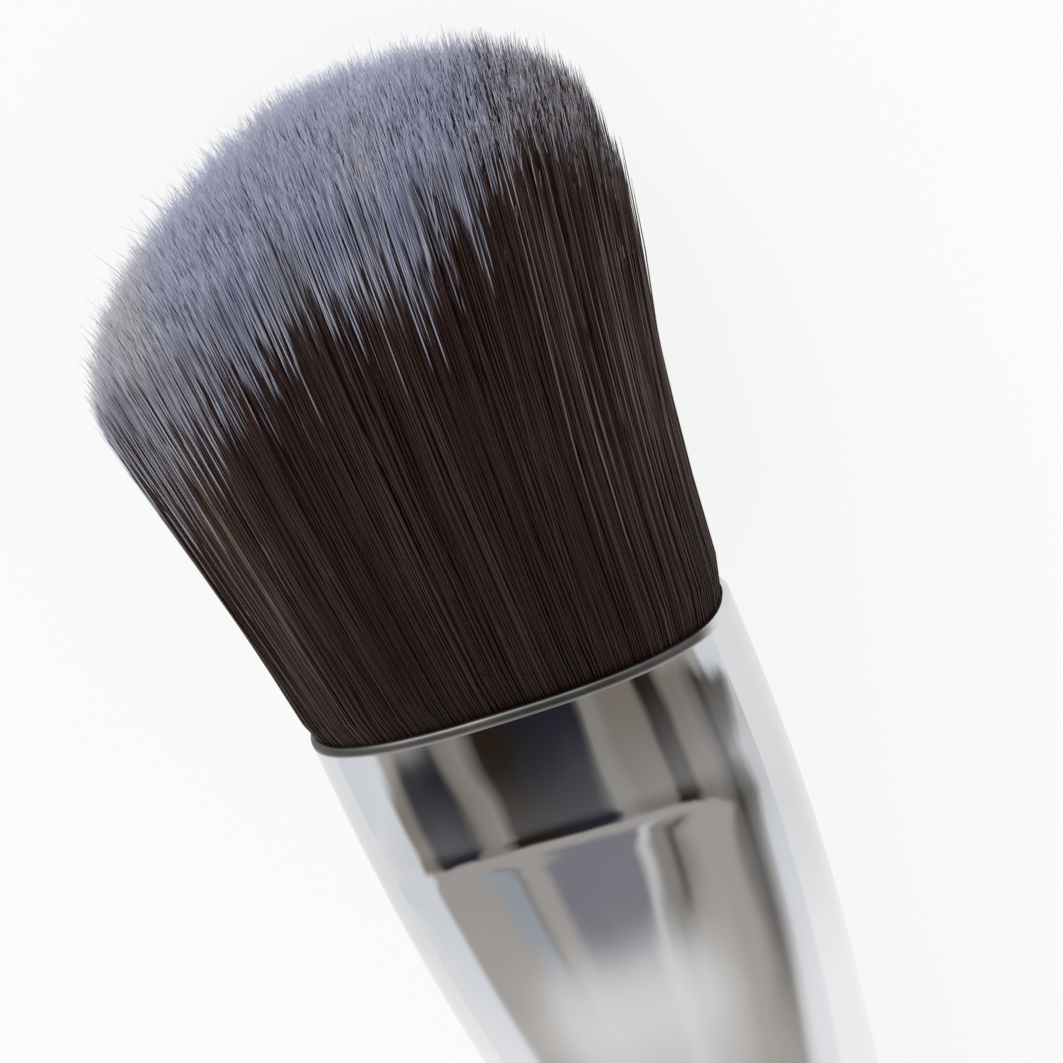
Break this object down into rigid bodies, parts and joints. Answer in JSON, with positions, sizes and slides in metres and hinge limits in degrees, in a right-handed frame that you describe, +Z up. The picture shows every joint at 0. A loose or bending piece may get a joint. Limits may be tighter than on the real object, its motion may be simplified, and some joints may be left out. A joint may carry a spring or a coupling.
{
  "type": "foundation brush",
  "caption": "Flat oval makeup brush: flared, slant-domed synthetic tuft in a polished flat-to-round ferrule, crimped on a turned lacquered handle.",
  "frame": {"origin": "middle of the brush's length and width, on the surface that it lies on", "axes": "+X from the handle's butt to the tuft's tip, +Y across the width, +Z up through the thickness"},
  "size_m": [0.1832, 0.0278, 0.0164],
  "materials": {
    "lacquered_wood": "gloss black lacquer",
    "polished_metal": "mirror polish",
    "epoxy_resin": "cured, translucent amber",
    "adhesive": "cured",
    "filament": "dark brown filament with pale blue-grey tips"
  },
  "bodies": {
    "root": {"handle": "lacquered_wood", "ferrule": "polished_metal", "root_plug": "epoxy_resin", "tenon_glue": "adhesive", "bristle_bundle_01": "filament", "bristle_bundle_02": "filament", "bristle_bundle_03": "filament", "bristle_bundle_04": "filament", "bristle_bundle_05": "filament", "bristle_bundle_06": "filament", "bristle_bundle_07": "filament", "bristle_bundle_08": "filament", "bristle_bundle_09": "filament", "bristle_bundle_10": "filament"}
  },
  "joints": []
}
